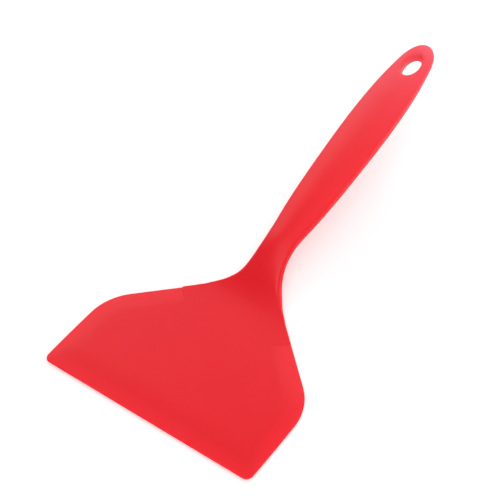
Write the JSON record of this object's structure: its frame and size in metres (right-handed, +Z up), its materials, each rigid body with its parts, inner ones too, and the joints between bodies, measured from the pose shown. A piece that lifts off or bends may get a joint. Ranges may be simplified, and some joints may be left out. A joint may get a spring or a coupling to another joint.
{
  "type": "silicone spatula",
  "caption": "Wide silicone turner: bevelled flexible blade, cranked neck and soft grip with a hanging hole, moulded over a steel insert and a hollow core.",
  "frame": {"origin": "middle of the bounding box's bottom face, on the plane the blade lies on", "axes": "+Z up, +Y along the spatula from the blade's front edge to the handle's tip, X = 0 the plane of symmetry"},
  "size_m": [0.1518, 0.33, 0.0674],
  "materials": {
    "red_silicone": "satin moulded silicone",
    "insert_steel": "rolled sheet, blanked and bent",
    "core_nylon": "fine moulded texture",
    "rivet_steel": "cold headed wire"
  },
  "bodies": {
    "root": {"silicone_overmould": "red_silicone", "blade_plate": "insert_steel", "handle_core": "core_nylon", "tang_rivets": "rivet_steel"}
  },
  "joints": []
}
